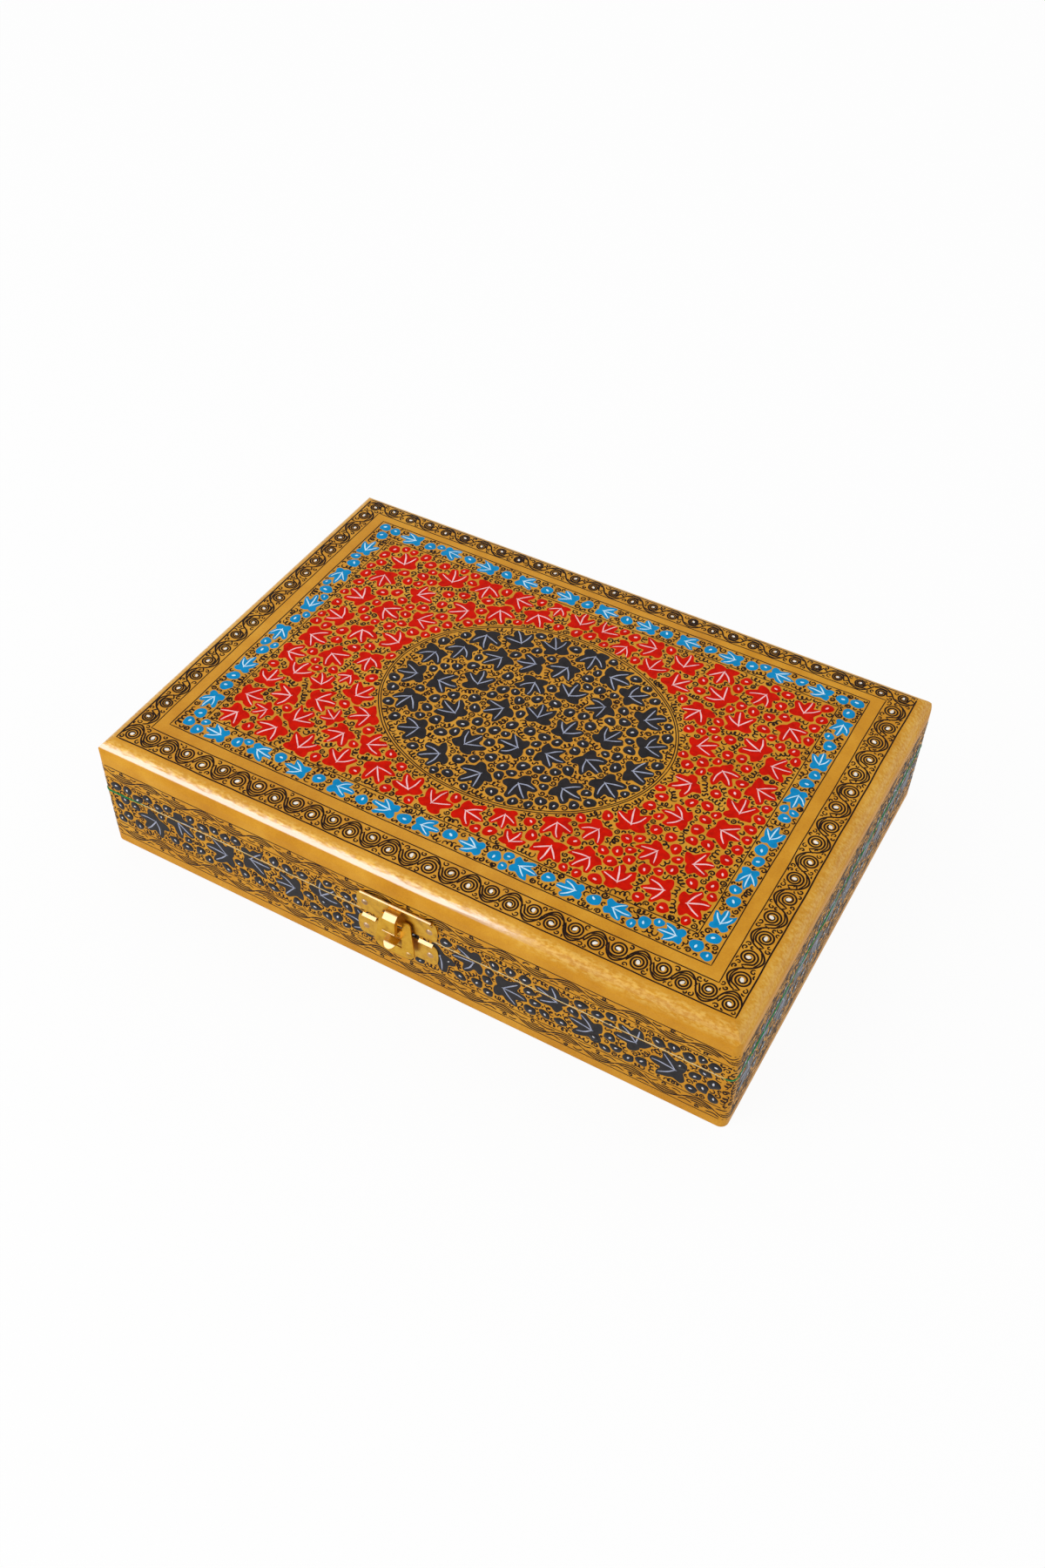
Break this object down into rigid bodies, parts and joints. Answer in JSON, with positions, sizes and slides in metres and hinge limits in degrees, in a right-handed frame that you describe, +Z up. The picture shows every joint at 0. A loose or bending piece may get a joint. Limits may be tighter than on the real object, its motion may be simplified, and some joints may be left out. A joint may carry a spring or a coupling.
{
  "type": "keepsake box",
  "caption": "Rectangular papier mache box with a hinged lid, velvet lining and a swinging brass hasp over a wire staple.",
  "frame": {"origin": "middle of the flat underside", "axes": "+X along the length to the viewer's right, -Y out of the front with the latch, +Z up"},
  "size_m": [0.254, 0.1881, 0.0508],
  "materials": {
    "gold_lacquer": "gold paint under clear varnish, satin",
    "green_velvet": "short green pile",
    "latch_brass": "stamped brass-plated sheet",
    "hinge_brass": "stamped brass-plated sheet",
    "nail_steel": "coppered steel tacks"
  },
  "bodies": {
    "base": {"base_front_wall": "gold_lacquer", "base_back_wall": "gold_lacquer", "base_left_wall": "gold_lacquer", "base_right_wall": "gold_lacquer", "base_floor": "gold_lacquer", "base_floor_lining": "green_velvet", "base_wall_lining": "green_velvet", "base_rim_lining": "green_velvet", "latch_base_plate": "latch_brass", "latch_staple": "latch_brass", "latch_base_nails": "nail_steel", "hinge_base_nails": "nail_steel", "hinge_left_base_leaf": "hinge_brass", "hinge_right_base_leaf": "hinge_brass", "hinge_left_pin": "hinge_brass", "hinge_right_pin": "hinge_brass"},
    "lid": {"lid_top_panel": "gold_lacquer", "lid_front_wall": "gold_lacquer", "lid_back_wall": "gold_lacquer", "lid_left_wall": "gold_lacquer", "lid_right_wall": "gold_lacquer", "lid_top_lining": "green_velvet", "lid_wall_lining": "green_velvet", "latch_lid_plate": "latch_brass", "latch_pin": "latch_brass", "latch_lid_nails": "nail_steel", "hinge_lid_nails": "nail_steel", "hinge_left_lid_leaf": "hinge_brass", "hinge_right_lid_leaf": "hinge_brass"},
    "hasp": {"latch_hasp": "latch_brass"}
  },
  "joints": [
    {"name": "lid_open", "type": "hinge", "parent": "base", "child": "lid", "pos_m": [0, 0.0904, 0.02745], "axis": [-1, 0, 0], "range_deg": [0, 180]},
    {"name": "hasp_swing", "type": "hinge", "parent": "lid", "child": "hasp", "pos_m": [0.0014, -0.08965, 0.03765], "axis": [-1, 0, 0], "range_deg": [-4.5, 110]}
  ]
}
